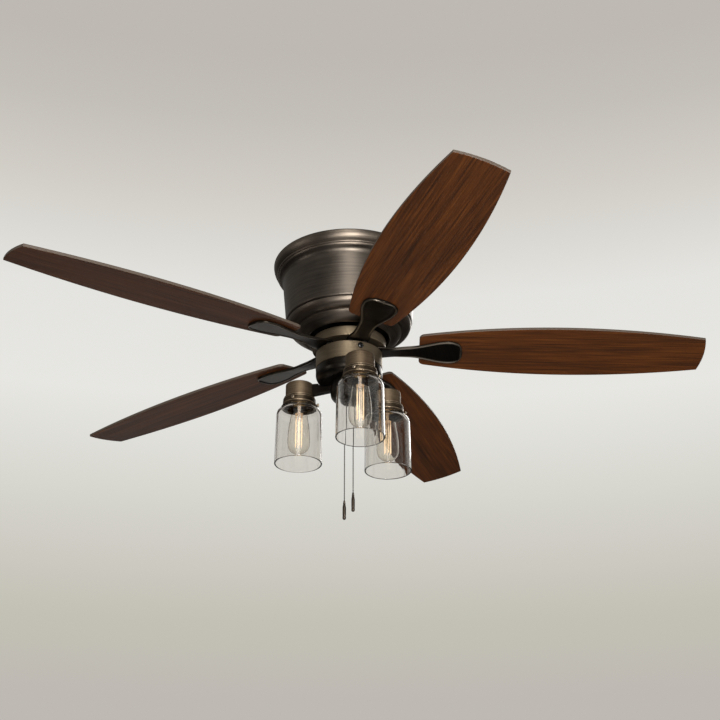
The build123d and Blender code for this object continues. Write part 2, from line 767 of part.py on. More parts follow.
# Chain bushings: small turned eyelets that guide the two chains ----------------
with BuildPart() as chain_bushings:
    for side in (-chain_offset, chain_offset):
        with BuildSketch(Plane.XY.offset(hub_bottom - 3.0)):
            with Locations((side, 0)):
                Circle(bushing_radius + 1.4)
        extrude(amount=3.0)
        with BuildSketch(Plane.XY.offset(hub_bottom)):
            with Locations((side, 0)):
                Circle(bushing_radius)
        extrude(amount=hub_wall + 1.5)
    with BuildSketch(Plane.XY.offset(hub_bottom - 3.0)):
        with Locations((-chain_offset, 0), (chain_offset, 0)):
            Circle(chain_radius + 0.8)
    extrude(amount=hub_wall + 4.5, mode=Mode.SUBTRACT)
save(chain_bushings, "chain_bushings")


# Pull switches: a round body with a side outlet that the chain hangs from -------
def make_pull_switch(side):
    """One pull switch in the hub; side is -1 for the fan, +1 for the lamps."""
    body_centre = side * 20.0
    with BuildPart() as pull_switch:
        with BuildSketch(Plane.XY.offset(-270.0)):
            with Locations((body_centre, 0)):
                Circle(9.6)
        extrude(amount=19.0)
        fillet(pull_switch.edges().filter_by(GeomType.CIRCLE), 0.8)
        with BuildSketch(Plane.XY.offset(-276.0)):
            with Locations((side * chain_offset, 0)):
                Circle(3.4)
        extrude(amount=10.0)
        with Locations((side * 10.5, 0, -268.0)):
            Box(4.0, 4.0, 4.0)
        with BuildSketch(Plane.XY.offset(-276.0)):
            with Locations((side * chain_offset, 0)):
                Circle(chain_radius + 0.8)
        extrude(amount=8.0, mode=Mode.SUBTRACT)
    return pull_switch


save(make_pull_switch(-1), "fan_speed_switch")
save(make_pull_switch(1), "light_switch")

# Lamp arms: cast bars from the hub to the side of each socket cup --------------
arm_top = -241.0
arm_low = cup_bottom + 0.4
arm_half = 5.5
arm_clear = pan_corner + 0.6


def make_lamp_arm(index):
    """One arm: its top edge clears the rounded pan, a wire bore runs through it."""
    azimuth = lamp_azimuth(index)
    inner = hub_radius + 0.3
    outer = lamp_ring - cup_radius - 0.3
    corner_x = pan_side - pan_corner
    corner_z = pan_bottom + pan_corner
    meet_x = corner_x + sqrt(arm_clear**2 - (corner_z - arm_top) ** 2)
    arc_mid = radians(-66.0)
    arc_point = (corner_x + arm_clear * cos(arc_mid), corner_z + arm_clear * sin(arc_mid))
    side_plane = Plane(spoke(azimuth).location * Location((0, 0, 0), (90, 0, 0)))
    with BuildPart() as arm:
        with BuildSketch(side_plane.offset(-arm_half)):
            with BuildLine():
                Line((inner, arm_low + 3), (inner, corner_z - arm_clear))
                Line((inner, corner_z - arm_clear), (corner_x, corner_z - arm_clear))
                ThreePointArc((corner_x, corner_z - arm_clear), arc_point, (meet_x, arm_top))
                Line((meet_x, arm_top), (outer, arm_top + 0.6))
                Line((outer, arm_top + 0.6), (outer, arm_low))
                Line((outer, arm_low), (inner, arm_low + 3))
            make_face()
        extrude(amount=2 * arm_half)
        fillet(arm.faces().sort_by(SortBy.AREA)[-2:].edges().filter_by(GeomType.LINE), 1.5)
        with BuildSketch(radial(azimuth, arm_bore_level, hub_radius - 5)):
            Circle(arm_bore_radius)
        extrude(amount=outer - hub_radius + 10, mode=Mode.SUBTRACT)
    return arm


for index in range(lamp_count):
    save(make_lamp_arm(index), f"lamp_arm_{index + 1}")


# Socket cups: spun cups, closed on top, that cover each lamp socket -------------
def lamp_plane(index, level):
    """A level plane on one lamp's own axis, turned to its arm."""
    return Plane(spoke(lamp_azimuth(index), level).location * Location((lamp_ring, 0, 0)))


def lamp_section(index):
    """The radius and height plane of one lamp, for revolved pieces."""
    return Plane(lamp_plane(index, 0).location * Location((0, 0, 0), (90, 0, 0)))


def lamp_axis(index):
    """The upright axis of one lamp."""
    return Axis(lamp_plane(index, 0).origin, (0, 0, 1))


def make_socket_cup(index):
    """One cup with a rounded top edge and a rolled lower lip."""
    with BuildPart() as cup:
        with BuildSketch(lamp_section(index)):
            with BuildLine():
                Line((0, cup_top), (cup_radius - 2.5, cup_top))
                ThreePointArc(
                    (cup_radius - 2.5, cup_top),
                    (cup_radius - 0.73, cup_top - 0.73),
                    (cup_radius, cup_top - 2.5),
                )
                Line((cup_radius, cup_top - 2.5), (cup_radius, cup_bottom))
                Line((cup_radius, cup_bottom), (cup_radius - sheet, cup_bottom))
                Line((cup_radius - sheet, cup_bottom), (cup_radius - sheet, cup_top - 3))
                Line((cup_radius - sheet, cup_top - 3), (cup_radius - 3, cup_top - sheet))
                Line((cup_radius - 3, cup_top - sheet), (0, cup_top - sheet))
                Line((0, cup_top - sheet), (0, cup_top))
            make_face()
        revolve(axis=lamp_axis(index))
        with BuildSketch(radial(lamp_azimuth(index), arm_bore_level, lamp_ring - cup_radius - 2)):
            Circle(arm_bore_radius)
        extrude(amount=6, mode=Mode.SUBTRACT)
    return cup


for index in range(lamp_count):
    save(make_socket_cup(index), f"socket_cup_{index + 1}")

# Shade fitters: stepped rings under the cups that clamp the glass necks ---------
glass_neck = 28.6
fitter_bore = glass_neck + 0.5
thumb_level = -275.0


def thumb_plane(index, turn, reach):
    """A plane facing outwards from one lamp's axis, where a thumb screw goes."""
    centre = lamp_plane(index, thumb_level).location * Location((0, 0, 0), (0, 0, 90 + 120 * turn))
    return Plane(centre * Location((reach, 0, 0), (0, 90, 0)))


def make_shade_fitter(index):
    """One fitter: a cap under the cup, three beads, and a flared skirt."""
    with BuildPart() as fitter:
        with BuildSketch(lamp_section(index)):
            with BuildLine():
                Line((15.5, cup_bottom - 0.3), (27.4, cup_bottom - 0.3))
                ThreePointArc((27.4, cup_bottom - 0.3), (28.8, cup_bottom - 1.6), (28.0, cup_bottom - 3.4))
                ThreePointArc((28.0, cup_bottom - 3.4), (30.4, cup_bottom - 5.2), (29.4, cup_bottom - 7.4))
                Line((29.4, cup_bottom - 7.4), (30.6, cup_bottom - 8.0))
                Line((30.6, cup_bottom - 8.0), (30.6, cup_bottom - 14.6))
                ThreePointArc((30.6, cup_bottom - 14.6), (31.9, cup_bottom - 18.0), (34.2, fitter_bottom))
                Line((34.2, fitter_bottom), (32.8, fitter_bottom))
                ThreePointArc(
                    (32.8, fitter_bottom),
                    (30.4, cup_bottom - 18.2),
                    (fitter_bore, cup_bottom - 14.8),
                )
                Line((fitter_bore, cup_bottom - 14.8), (fitter_bore, cup_bottom - 8.6))
                Line((fitter_bore, cup_bottom - 8.6), (26.4, cup_bottom - 1.9))
                Line((26.4, cup_bottom - 1.9), (15.5, cup_bottom - 1.9))
                Line((15.5, cup_bottom - 1.9), (15.5, cup_bottom - 0.3))
            make_face()
        revolve(axis=lamp_axis(index))
        for turn in range(3):
            with Locations(thumb_plane(index, turn, glass_neck)):
                Cylinder(2.0, 8, mode=Mode.SUBTRACT)
    return fitter


for index in range(lamp_count):
    save(make_shade_fitter(index), f"shade_fitter_{index + 1}")

# Thumb screws: three to a fitter, their tips just clear of the glass neck -------
with BuildPart() as thumb_screws:
    for index in range(lamp_count):
        for turn in range(3):
            with BuildSketch(thumb_plane(index, turn, glass_neck + 0.3)):
                Circle(1.7)
            extrude(amount=5.0)
            with BuildSketch(thumb_plane(index, turn, glass_neck + 5.0)):
                RegularPolygon(3.2, 10)
            extrude(amount=3.6)
save(thumb_screws, "thumb_screws")


# Glass shades: clear jars with a rounded shoulder, open at the bottom -----------
def make_glass_shade(index):
    """One jar: neck in the fitter, quarter-round shoulder, straight wall."""
    neck_top = cup_bottom - 10.0
    shoulder_top = fitter_bottom - 1.2
    shoulder_low = shoulder_top - 17.0
    upper_side = glass_radius - 1.4
    with BuildPart() as shade:
        with BuildSketch(lamp_section(index)):
            with BuildLine():
                Line((glass_neck, neck_top), (glass_neck, shoulder_top + 2))
                Spline(
                    (glass_neck, shoulder_top + 2),
                    (glass_neck + 6.5, shoulder_top - 2.6),
                    (upper_side, shoulder_low),
                    tangents=((0.1, -1), (0, -1)),
                )
                Line((upper_side, shoulder_low), (glass_radius, glass_bottom + 1.2))
                ThreePointArc(
                    (glass_radius, glass_bottom + 1.2),
                    (glass_radius - glass_wall / 2, glass_bottom),
                    (glass_radius - glass_wall, glass_bottom + 1.2),
                )
                Line(
                    (glass_radius - glass_wall, glass_bottom + 1.2),
                    (upper_side - glass_wall, shoulder_low),
                )
                Spline(
                    (upper_side - glass_wall, shoulder_low),
                    (glass_neck + 5.2, shoulder_top - 4.8),
                    (glass_neck - glass_wall, shoulder_top + 1.2),
                    tangents=((0, 1), (-0.1, 1)),
                )
                Line((glass_neck - glass_wall, shoulder_top + 1.2), (glass_neck - glass_wall, neck_top))
                Line((glass_neck - glass_wall, neck_top), (glass_neck, neck_top))
            make_face()
        revolve(axis=lamp_axis(index))
    return shade


for index in range(lamp_count):
    save(make_glass_shade(index), f"glass_shade_{index + 1}")

# Lamp sockets: porcelain shells inside the cups, for a 26 mm screw base ---------
socket_top = -242.0
socket_bottom = -272.0
base_radius = 12.8
with BuildPart() as lamp_sockets:
    for index in range(lamp_count):
        with BuildSketch(lamp_plane(index, socket_bottom)):
            Circle(15.0)
        extrude(amount=socket_top - socket_bottom)
        with BuildSketch(lamp_plane(index, socket_bottom)):
            Circle(base_radius + 0.5)
        extrude(amount=27.0, mode=Mode.SUBTRACT)
save(lamp_sockets, "lamp_sockets")

# Bulb bases: screw shells with a contact button ---------------------------------
base_bottom = -274.0
with BuildPart() as bulb_bases:
    for index in range(lamp_count):
        with BuildSketch(lamp_plane(index, base_bottom)):
            Circle(base_radius)
        extrude(amount=22.0)
        with BuildSketch(lamp_plane(index, base_bottom + 22.0)):
            Circle(base_radius)
        extrude(amount=4.0, taper=55)
save(bulb_bases, "bulb_bases")

# Bulb glass: thin teardrop envelopes, wide near the bottom -----------------------
bulb_neck = base_radius - 0.6
bulb_wall = 0.9


def bulb_profile(inset):
    """The closed half profile of an envelope, its surface moved in by the inset."""
    top = base_bottom - 0.2
    with BuildLine() as profile:
        side = Spline(
            (bulb_neck - inset, top),
            (15.6 - inset, top - 26),
            (bulb_radius - inset, bulb_bottom + 27),
            (16.4 - inset, bulb_bottom + 7 + inset / 2),
            (0, bulb_bottom + inset),
            tangents=((0.12, -1), (-1, 0)),
        )
        Line(side @ 1, (0, top))
        Line((0, top), side @ 0)
    return profile.line


with BuildPart() as bulb_glass:
    for index in range(lamp_count):
        with BuildSketch(lamp_section(index)):
            add(bulb_profile(0))
            make_face()
        revolve(axis=lamp_axis(index))
    for index in range(lamp_count):
        with BuildSketch(lamp_section(index)):
            add(bulb_profile(bulb_wall))
            make_face()
        revolve(axis=lamp_axis(index), mode=Mode.SUBTRACT)
save(bulb_glass, "bulb_glass")

# Filaments: upright carbon threads round a glass stem ---------------------------
filament_ring = 6.2
filament_radius = 0.6
filament_low = bulb_bottom + 14.0
stem_length = 22.0
thread_count = 6
with BuildPart() as filaments:
    for index in range(lamp_count):
        with BuildSketch(lamp_plane(index, base_bottom - 0.4)):
            Circle(4.0)
        extrude(amount=-stem_length, taper=6)
        with BuildSketch(lamp_plane(index, base_bottom - stem_length - 1.2)):
            Circle(filament_ring + 2 * filament_radius)
        extrude(amount=0.8)
        with BuildSketch(lamp_plane(index, filament_low)):
            with PolarLocations(filament_ring, thread_count):
                Circle(filament_radius)
        extrude(amount=base_bottom - stem_length - 1.2 - filament_low)
save(filaments, "filaments")


# Pull chains: each hangs straight from its switch to its fob --------------------
def make_chain(side, fob_top):
    """One chain's plain tube, straight down under the fob's weight."""
    with BuildPart() as chain:
        with BuildSketch(Plane.XY.offset(fob_top)):
            with Locations((side * chain_offset, 0)):
                Circle(chain_radius)
        extrude(amount=chain_top - fob_top)
    return chain


def make_fob(side, fob_top):
    """One fob: slim turned drop with a neck that grips the chain's last ball."""
    fob_plane = Plane((side * chain_offset, 0, fob_top), x_dir=(1, 0, 0), z_dir=(0, -1, 0))
    with BuildPart() as fob:
        with BuildSketch(fob_plane):
            with BuildLine():
                Line((0, 0), (1.4, 0))
                Line((1.4, 0), (2.0, -1.4))
                Line((2.0, -1.4), (2.0, -3.0))
                Spline((2.0, -3.0), (2.8, -5.6), (fob_radius, -10.0), tangents=((0.7, -0.7), (0, -1)))
                Line((fob_radius, -10.0), (fob_radius, -fob_length + 3.0))
                Spline(
                    (fob_radius, -fob_length + 3.0),
                    (2.3, -fob_length + 0.7),
                    (0, -fob_length),
                    tangents=((0, -1), (-1, 0)),
                )
                Line((0, -fob_length), (0, 0))
            make_face()
        revolve(axis=Axis((side * chain_offset, 0, 0), (0, 0, 1)))
    return fob


save(make_chain(-1, fan_fob_top), "fan_chain")
save(make_fob(-1, fan_fob_top), "fan_fob")
save(make_chain(1, light_fob_top), "light_chain")
save(make_fob(1, light_fob_top), "light_fob")
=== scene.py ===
import math

import bmesh
import bpy
import numpy as np
from mathutils import Euler, Matrix, Vector


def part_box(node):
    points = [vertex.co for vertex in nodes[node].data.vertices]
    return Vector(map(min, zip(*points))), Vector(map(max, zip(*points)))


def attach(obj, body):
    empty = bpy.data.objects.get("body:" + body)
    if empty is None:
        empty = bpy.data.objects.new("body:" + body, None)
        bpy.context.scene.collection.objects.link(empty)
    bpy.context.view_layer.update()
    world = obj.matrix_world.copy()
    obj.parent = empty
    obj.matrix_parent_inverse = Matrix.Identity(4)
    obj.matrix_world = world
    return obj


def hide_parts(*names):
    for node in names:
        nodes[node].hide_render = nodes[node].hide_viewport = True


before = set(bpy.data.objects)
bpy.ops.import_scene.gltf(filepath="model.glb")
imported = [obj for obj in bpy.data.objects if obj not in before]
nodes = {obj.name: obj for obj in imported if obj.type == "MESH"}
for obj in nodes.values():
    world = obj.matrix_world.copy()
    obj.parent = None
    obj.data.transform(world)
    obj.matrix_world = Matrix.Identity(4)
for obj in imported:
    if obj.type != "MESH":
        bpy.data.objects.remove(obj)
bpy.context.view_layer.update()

# Camera: stands in front of the fan and well below it, and looks up past the lamps
# at the blades. The lens is a short telephoto.
scene = bpy.context.scene
standpoint = Vector((0.0081, -2.1202, -1.2446))
looked_at = Vector((0.0204, 0.0, -0.1991))
lean = math.radians(-0.10)
camera_data = bpy.data.cameras.new("camera")
camera_data.sensor_width = 36.0
camera_data.lens = 63.40
camera_data.clip_start = 0.05
camera_data.clip_end = 60.0
camera = bpy.data.objects.new("camera", camera_data)
scene.collection.objects.link(camera)
camera.location = standpoint
look = (looked_at - standpoint).to_track_quat("-Z", "Y").to_matrix().to_4x4()
camera.rotation_euler = (look @ Matrix.Rotation(lean, 4, "Z")).to_euler()
scene.camera = camera
scene.view_settings.view_transform = "Standard"


# Pull chains: two bead chains of brass finished dark bronze, hung from the pull
# switches in the hub. Beads 2.4 mm across are crimped on a wire, 3.2 mm apart.
class Shade:
    """A socket's value over a surface; arithmetic on it adds the Math nodes it stands for."""

    def __init__(self, finish, socket):
        self.finish = finish
        self.socket = socket

    def maths(self, operation, *values):
        """One Math node of this operation on the given values."""
        return self.finish.node("ShaderNodeMath", {"operation": operation}, dict(enumerate(values)))[0]

    def __add__(self, other):
        return self.maths("ADD", self, other)

    __radd__ = __add__

    def __sub__(self, other):
        return self.maths("SUBTRACT", self, other)

    def __rsub__(self, other):
        return self.maths("SUBTRACT", other, self)

    def __mul__(self, other):
        return self.maths("MULTIPLY", self, other)

    __rmul__ = __mul__

    def __truediv__(self, other):
        return self.maths("DIVIDE", self, other)

    def __pow__(self, other):
        return self.maths("POWER", self, other)

    def __gt__(self, other):
        return self.maths("GREATER_THAN", self, other)

    def __lt__(self, other):
        return self.maths("LESS_THAN", self, other)


class Finish:
    """A Principled material: what is even goes on the shader's sockets, what varies is linked."""

    def __init__(self, name, even):
        self.material = bpy.data.materials.new(name)
        self.material.use_nodes = True
        self.tree = self.material.node_tree
        self.shader = self.tree.nodes["Principled BSDF"]
        for socket, value in even.items():
            self.shader.inputs[socket].default_value = value

    def node(self, kind, settings, sockets):
        """Adds a node: its settings first, then its sockets; returns its outputs as Shades."""
        made = self.tree.nodes.new(kind)
        for key, value in settings.items():
            if key == "stops":
                self.set_stops(made.color_ramp, value)
            else:
                setattr(made, key, value)
        for key, value in sockets.items():
            self.feed(made.inputs[key], value)
        return [Shade(self, output) for output in made.outputs]

    def feed(self, socket, value):
        """Links a Shade to a socket, or sets the socket to a plain value."""
        if isinstance(value, Shade):
            self.tree.links.new(value.socket, socket)
        else:
            socket.default_value = value

    def set_stops(self, ramp, stops):
        """Gives a colour ramp its stops: (position, colour) pairs."""
        while len(ramp.elements) < len(stops):
            ramp.elements.new(0.5)
        for element, (position, colour) in zip(ramp.elements, stops):
            element.position = position
            element.color = (*colour, 1.0)

    def vary(self, socket, shade):
        """Feeds what varies into one of the shader's sockets."""
        self.feed(self.shader.inputs[socket], shade)

    def place(self, origin=(0, 0, 0), turn=(0, 0, 0)):
        """Object coordinates seen from a frame at origin, turned by the Euler angles."""
        here = self.node("ShaderNodeTexCoord", {}, {})[3]
        settings = {"vector_type": "TEXTURE"}
        sockets = {"Vector": here, "Location": origin, "Rotation": turn}
        return self.node("ShaderNodeMapping", settings, sockets)[0]

    def split(self, vector):
        """The three numbers of a vector."""
        return self.node("ShaderNodeSeparateXYZ", {}, {0: vector})

    def join(self, x, y, z):
        """A vector of three numbers."""
        return self.node("ShaderNodeCombineXYZ", {}, {0: x, 1: y, 2: z})[0]

    def noise(self, where, scale, detail=3.0, rough=0.5, seed=0.0):
        """Cloudy noise from 0 to 1, centred on a half."""
        settings = {"noise_dimensions": "4D"}
        sockets = {"Vector": where, "W": seed, "Scale": scale, "Detail": detail, "Roughness": rough}
        return self.node("ShaderNodeTexNoise", settings, sockets)[0]

    def ramp(self, shade, stops):
        """A colour read off a ramp of stops."""
        return self.node("ShaderNodeValToRGB", {"stops": stops}, {0: shade})[0]

    def blend(self, share, first, second):
        """The first colour where share is 0, the second where it is 1."""
        settings = {"data_type": "RGBA", "clamp_factor": True}
        return self.node("ShaderNodeMix", settings, {0: share, 6: first, 7: second})[2]

    def emboss(self, height, depth, strength=1.0):
        """Turns a height from 0 to 1 into a bump of that depth in metres."""
        sockets = {"Height": height, "Distance": depth, "Strength": strength}
        self.vary("Normal", self.node("ShaderNodeBump", {}, sockets)[0])


def bronze(name, shadow, sheen, roughness, centre=(0.0, 0.0), rubbed_highlight_tone=None):
    """Oil-rubbed bronze, brushed round an upright axis: the brush marks are noise that is long
    round the axis and fine along it, and cloudy patina darkens and dulls the metal. Where the
    mesh's own per-point value says so, the tone is lighter: a painted highlight, and rubbed bronze."""
    finish = Finish(name, {"Metallic": 1.0, "Specular IOR Level": 0.4})
    x, y, z = finish.split(finish.place(origin=(*centre, 0)))
    radius = (x * x + y * y + 1e-8) ** 0.5
    along = z + radius
    marks = finish.noise(finish.join(x / radius * 3.0, y / radius * 3.0, along * 1400.0), 1.0, 2.0)
    bands = finish.noise(finish.join(x / radius, y / radius, along * 260.0), 1.0, 2.0, seed=3.0)
    patina = finish.noise(finish.place(), 16.0, 4.0, seed=7.0)
    worn = marks * 0.45 + bands * 0.35 + patina * 0.35 - 0.1
    tone = finish.ramp(worn, [(0.30, shadow), (0.70, sheen)])
    # Painted highlight on raised rims and beads: the tone is lifted to a lighter rubbed bronze there.
    if rubbed_highlight_tone:
        rub_and_highlight_share = finish.node("ShaderNodeAttribute", {"attribute_name": "worn"}, {})[2]
        tone = finish.blend(rub_and_highlight_share * (0.4 + 0.9 * patina), tone, (*rubbed_highlight_tone, 1.0))
    finish.vary("Base Color", tone)
    finish.vary("Roughness", roughness + 0.10 * (marks - 0.5) + 0.16 * (patina - 0.5))
    finish.emboss(marks * 0.6 + bands * 0.4, 0.00006, 0.6)
    return finish.material


def grid_faces(rows, columns, wrap_columns):
    """Quads between the neighbours of a rows x columns grid of points, closed round where wrapped."""
    row = np.arange(rows - 1)[:, None]
    column = np.arange(columns if wrap_columns else columns - 1)[None, :]
    next_row = row + 1
    next_column = (column + 1) % columns
    corners = (
        row * columns + column,
        row * columns + next_column,
        next_row * columns + next_column,
        next_row * columns + column,
    )
    return np.stack([corner.ravel() for corner in corners], 1)


def make_piece(name, finish, grids, wrap_columns=True, worn=None):
    """One mesh object from grids of points, each (rows, columns, 3). Coincident points merge, which
    closes the poles, and the faces are turned outwards. The optional value from 0 to 1 per point
    marks where the finish paints a highlight over rubbed bronze."""
    points = []
    faces = []
    total = 0
    for grid in grids:
        rows, columns = grid.shape[:2]
        points.append(grid.reshape(-1, 3))
        faces.append(grid_faces(rows, columns, wrap_columns) + total)
        total += rows * columns
    mesh = bpy.data.meshes.new(name)
    mesh.from_pydata(np.concatenate(points).tolist(), [], np.concatenate(faces).tolist())
    # Per-point share of painted highlight and rubbed bronze, read by the finish.
    if worn is not None:
        rub_and_sheen_layer = mesh.attributes.new("worn", "FLOAT", "POINT")
        rub_and_sheen_layer.data.foreach_set("value", worn.ravel().astype(np.float32))
    shape = bmesh.new()
    shape.from_mesh(mesh)
    bmesh.ops.remove_doubles(shape, verts=shape.verts, dist=1e-7)
    bmesh.ops.recalc_face_normals(shape, faces=shape.faces)
    shape.to_mesh(mesh)
    shape.free()
    mesh.polygons.foreach_set("use_smooth", [True] * len(mesh.polygons))
    mesh.materials.append(finish)
    piece = bpy.data.objects.new(name, mesh)
    scene.collection.objects.link(piece)
    return piece


def eased(outline, cut, steps=5):
    """An outline of (r, z) points whose inner corners are cut back by up to cut and rounded by a
    quadratic curve: (1-t)^2 A + 2t(1-t) P + t^2 B."""
    points = np.array(outline, float)
    curve = [points[:1]]
    t = np.linspace(0, 1, steps)[:, None]
    for before, corner, after in zip(points[:-2], points[1:-1], points[2:]):
        reach_in = min(cut, np.linalg.norm(before - corner) * 0.45)
        reach_out = min(cut, np.linalg.norm(after - corner) * 0.45)
        start = corner + (before - corner) / np.linalg.norm(before - corner) * reach_in
        end = corner + (after - corner) / np.linalg.norm(after - corner) * reach_out
        curve.append((1 - t) ** 2 * start + 2 * t * (1 - t) * corner + t**2 * end)
    curve.append(points[-1:])
    return np.concatenate(curve)


def turned(outline, around=64, lobes=0, depth=0.0):
    """An outline of (r, z) points turned about Z: x = r cos a, y = r sin a. Lobes make the radius
    ripple by depth, as a knurl does."""
    angle = np.arange(around) * 2 * math.pi / around
    radius = np.array(outline, float)[:, :1] * (1 + depth * np.cos(lobes * angle))[None, :]
    height = np.broadcast_to(np.array(outline, float)[:, 1:], radius.shape)
    return np.stack([radius * np.cos(angle), radius * np.sin(angle), height], 2)


def moved(grid, origin, direction=(0, 0, 1)):
    """A grid carried from the Z axis at the origin to another axis at another point."""
    turn = np.array(Vector(direction).to_track_quat("Z", "Y").to_matrix())
    return grid @ turn.T + np.array(origin, float)


bead_radius = 0.0012
bead_pitch = 0.0032
wire_radius = 0.00045
chain_finish = bronze("chain bronze", (0.030, 0.026, 0.022), (0.13, 0.11, 0.09), 0.36)


def chain_line(name, route):
    """The chain's line: the points that Blender gives for a NURBS spline through the route."""
    data = bpy.data.curves.new(name + "_route", "CURVE")
    data.dimensions = "3D"
    data.resolution_u = 24
    spline = data.splines.new("NURBS")
    spline.points.add(len(route) - 1)
    for point, place in zip(spline.points, route):
        point.co = (*place, 1.0)
    spline.order_u = 3
    spline.use_endpoint_u = True
    rope = bpy.data.objects.new(name + "_route", data)
    scene.collection.objects.link(rope)
    mesh = bpy.data.meshes.new_from_object(rope)
    line = np.array([vertex.co[:] for vertex in mesh.vertices])
    bpy.data.objects.remove(rope)
    bpy.data.meshes.remove(mesh)
    return line


def bead_chain(name, route):
    """Beads along the route's line, p(s) + R (sin b cos a, sin b sin a, cos b), on a thin wire."""
    line = chain_line(name, route)
    run = np.concatenate([[0], np.cumsum(np.linalg.norm(np.diff(line, axis=0), axis=1))])
    count = int(run[-1] / bead_pitch)
    spots = np.linspace(bead_radius, run[-1] - bead_radius, count)
    centres = np.stack([np.interp(spots, run, line[:, k]) for k in range(3)], 1)
    down = np.linspace(0, math.pi, 7)
    bead = turned(np.stack([bead_radius * np.sin(down), bead_radius * np.cos(down)], 1), around=10)
    grids = [bead + centre for centre in centres]
    wire = np.array([(0, 0), (wire_radius, 0), (wire_radius, 1), (0, 1)])
    for above, below in zip(centres[:-1], centres[1:]):
        link = turned(wire * (1, np.linalg.norm(below - above)), around=6)
        grids.append(moved(link, above, below - above))
    return make_piece(name, chain_finish, grids), line, run[-1]


fob_finish = bronze("fob bronze", (0.035, 0.029, 0.024), (0.16, 0.13, 0.10), 0.34)


def turned_fob(name, node):
    """A slim turned fob: ball cup, collar, waist and a plain barrel with a rounded foot."""
    low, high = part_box(node)
    length = high[2] - low[2]
    barrel = (high[0] - low[0]) / 2
    outline = [
        (0.0, 0.0),
        (0.0015, 0.0),
        (0.0019, -0.0008),
        (0.0019, -0.0024),
        (0.0013, -0.0031),
        (0.0024, -0.0038),
        (0.0024, -0.0046),
        (0.0019, -0.0052),
        (barrel * 0.84, -0.0085),
        (barrel, -0.0120),
        (barrel, -length + 0.0085),
        (barrel * 0.90, -length + 0.0079),
        (barrel * 0.90, -length + 0.0072),
        (barrel, -length + 0.0066),
        (barrel, -length + 0.0022),
        (barrel * 0.6, -length + 0.0004),
        (0.0, -length),
    ]
    centre = ((low[0] + high[0]) / 2, (low[1] + high[1]) / 2, high[2])
    return make_piece(name, fob_finish, [moved(turned(eased(outline, 0.0009), 32), centre)])


for use in ("fan", "light"):
    low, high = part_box(f"{use}_chain")
    hang_x = (low[0] + high[0]) / 2
    hang_y = (low[1] + high[1]) / 2
    top = (hang_x, hang_y, high[2])
    clear_of_hub = (hang_x, hang_y, high[2] - 0.032)
    bottom = (hang_x, hang_y, low[2])
    chain, line, length = bead_chain(f"{use}_bead_chain", [top, clear_of_hub, bottom])
    fob = turned_fob(f"{use}_chain_fob", f"{use}_fob")
    for piece in (chain, fob):
        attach(piece, f"{use}_pull")
    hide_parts(f"{use}_chain")
    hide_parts(f"{use}_fob")

# Studio: a plain pale floor far below, a pale backdrop of light that is brightest level
# with the fan, softboxes in front above and below it, and weaker ones round it. The floor
# is left out of reflections, so the bronze stays dark underneath.
floor_level = -3.7
floor_half = 14.0
floor_even = {"Roughness": 0.85, "Specular IOR Level": 0.2, "Emission Strength": 0.42}
floor_finish = Finish("studio floor", floor_even)
floor_cloud = floor_finish.noise(floor_finish.place(), 1.5)
floor_tone = floor_finish.ramp(floor_cloud, [(0.3, (0.60, 0.58, 0.55)), (0.7, (0.66, 0.64, 0.61))])
floor_finish.vary("Base Color", floor_tone)
floor_finish.vary("Emission Color", floor_tone)
side = np.linspace(-floor_half, floor_half, 3)
floor_points = np.stack(np.broadcast_arrays(side[:, None], side[None, :], floor_level), 2)
floor = make_piece("studio_floor", floor_finish.material, [floor_points], wrap_columns=False)
floor.visible_diffuse = False
floor.visible_glossy = False


class Backdrop(Finish):
    """The world's light, written as a finish is."""

    def __init__(self, name):
        self.material = bpy.data.worlds.new(name)
        self.material.use_nodes = True
        self.tree = self.material.node_tree
        self.shader = self.tree.nodes["Background"]


backdrop = Backdrop("studio")
scene.world = backdrop.material
upward = backdrop.split(backdrop.node("ShaderNodeTexCoord", {}, {})[0])[2]
backdrop_stops = [
    (0.597, (0.515, 0.485, 0.451)),
    (0.626, (0.546, 0.533, 0.462)),
    (0.648, (0.610, 0.592, 0.540)),
    (0.671, (0.676, 0.670, 0.620)),
    (0.707, (0.800, 0.795, 0.762)),
    (0.742, (0.776, 0.770, 0.740)),
    (0.776, (0.640, 0.616, 0.570)),
    (0.801, (0.545, 0.522, 0.482)),
    (0.819, (0.515, 0.485, 0.451)),
]
backdrop.vary("Color", backdrop.ramp(upward * 0.5 + 0.5, backdrop_stops))
ray = backdrop.node("ShaderNodeLightPath", {}, {})
camera_ray, transmission_ray = ray[0], ray[6]
straight = camera_ray.maths("MAXIMUM", camera_ray, transmission_ray)
rising = upward * 6.0 + 0.5
above = upward.maths("SMOOTH_MIN", rising.maths("MAXIMUM", rising, 0.0), 1.0, 0.1)
backdrop.vary("Strength", straight * 0.72 + (1 - straight) * (above * 0.22 - 0.22) + 0.28)


def softbox(name, place, target, width, height, power, tint=(1.0, 0.97, 0.93)):
    """A rectangular area light aimed from place at target."""
    data = bpy.data.lights.new(name, "AREA")
    data.shape = "RECTANGLE"
    data.size = width
    data.size_y = height
    data.energy = power
    data.color = tint
    lamp = bpy.data.objects.new(name, data)
    scene.collection.objects.link(lamp)
    lamp.location = place
    lamp.rotation_euler = (Vector(target) - Vector(place)).to_track_quat("-Z", "Y").to_euler()
    lamp.visible_transmission = False
    return lamp


